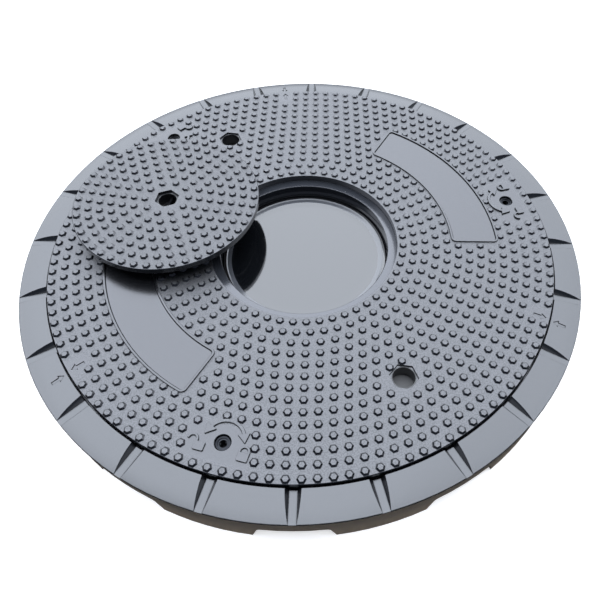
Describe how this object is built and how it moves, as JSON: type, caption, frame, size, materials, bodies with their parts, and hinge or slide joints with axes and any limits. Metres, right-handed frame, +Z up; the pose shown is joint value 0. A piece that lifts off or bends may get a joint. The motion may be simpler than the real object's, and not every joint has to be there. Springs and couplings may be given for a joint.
{
  "type": "manhole cover",
  "caption": "Round watertight composite manhole cover in a bevelled frame, with quarter-turn locks, lifting sockets and a small round access lid lying beside its recess.",
  "frame": {"origin": "centre of the frame's bottom face", "axes": "+Z up, out of the manhole; -Y towards the viewer; the access lid lies aside in the direction 165 degrees anticlockwise from +X"},
  "size_m": [0.9956, 0.9956, 0.1233],
  "materials": {
    "cover_composite": "moulded glass-fibre composite, fine grit between studs",
    "frame_composite": "smooth moulded glass-fibre composite",
    "socket_composite": "smooth moulded",
    "plate_plastic": "smooth satin",
    "seal_rubber": "moulded rubber",
    "stainless": "brushed stainless steel",
    "lock_steel": "blackened steel",
    "bush_brass": "machined"
  },
  "bodies": {
    "frame": {"frame_ring": "frame_composite", "frame_seat_gasket": "seal_rubber"},
    "cover": {"cover_plate": "cover_composite", "lock_bushes": "bush_brass", "lock_stop_pins": "stainless", "lifting_sockets": "socket_composite"},
    "lock_1": {"lock_bolt_1": "lock_steel", "lock_o_ring_1": "seal_rubber", "lock_thrust_washer_1": "bush_brass", "lock_tongue_1": "stainless", "lock_nut_1": "stainless"},
    "lock_2": {"lock_bolt_2": "lock_steel", "lock_o_ring_2": "seal_rubber", "lock_thrust_washer_2": "bush_brass", "lock_tongue_2": "stainless", "lock_nut_2": "stainless"},
    "lock_3": {"lock_bolt_3": "lock_steel", "lock_o_ring_3": "seal_rubber", "lock_thrust_washer_3": "bush_brass", "lock_tongue_3": "stainless", "lock_nut_3": "stainless"},
    "seal_plate": {"inner_seal_plate": "plate_plastic", "inner_plate_gasket": "seal_rubber"},
    "lifting_bar": {"lid_lifting_bar": "lock_steel"},
    "access_lid": {"access_lid": "cover_composite", "lid_socket_insert": "socket_composite", "access_lid_seal": "seal_rubber"}
  },
  "joints": [
    {"name": "cover_lift", "type": "slide", "parent": "frame", "child": "cover", "axis": [0, 0, 1], "range_m": [0, 0.25]},
    {"name": "lock_1_turn", "type": "hinge", "parent": "cover", "child": "lock_1", "pos_m": [-0.10353, -0.38637, 0.039], "axis": [0, 0, -1], "range_deg": [0, 90]},
    {"name": "lock_2_turn", "type": "hinge", "parent": "cover", "child": "lock_2", "pos_m": [0.38637, 0.10353, 0.039], "axis": [0, 0, -1], "range_deg": [0, 90]},
    {"name": "lock_3_turn", "type": "hinge", "parent": "cover", "child": "lock_3", "pos_m": [-0.28284, 0.28284, 0.039], "axis": [0, 0, -1], "range_deg": [0, 90]},
    {"name": "seal_plate_lift", "type": "slide", "parent": "cover", "child": "seal_plate", "axis": [0, 0, 1], "range_m": [0, 0.04]},
    {"name": "lid_swing", "type": "hinge", "parent": "cover", "child": "lifting_bar", "pos_m": [-0.12605, 0.03378, 0.08515], "axis": [-0.2588, -0.9659, 0], "range_deg": [-180, 0]},
    {"name": "lid_level", "type": "hinge", "parent": "lifting_bar", "child": "access_lid", "pos_m": [-0.25211, 0.06755, 0.1033], "axis": [-0.2588, -0.9659, 0], "range_deg": [0, 180]}
  ],
  "couplings": [
    {"joint": "lid_level", "follows": "lid_swing", "ratio": -1}
  ]
}
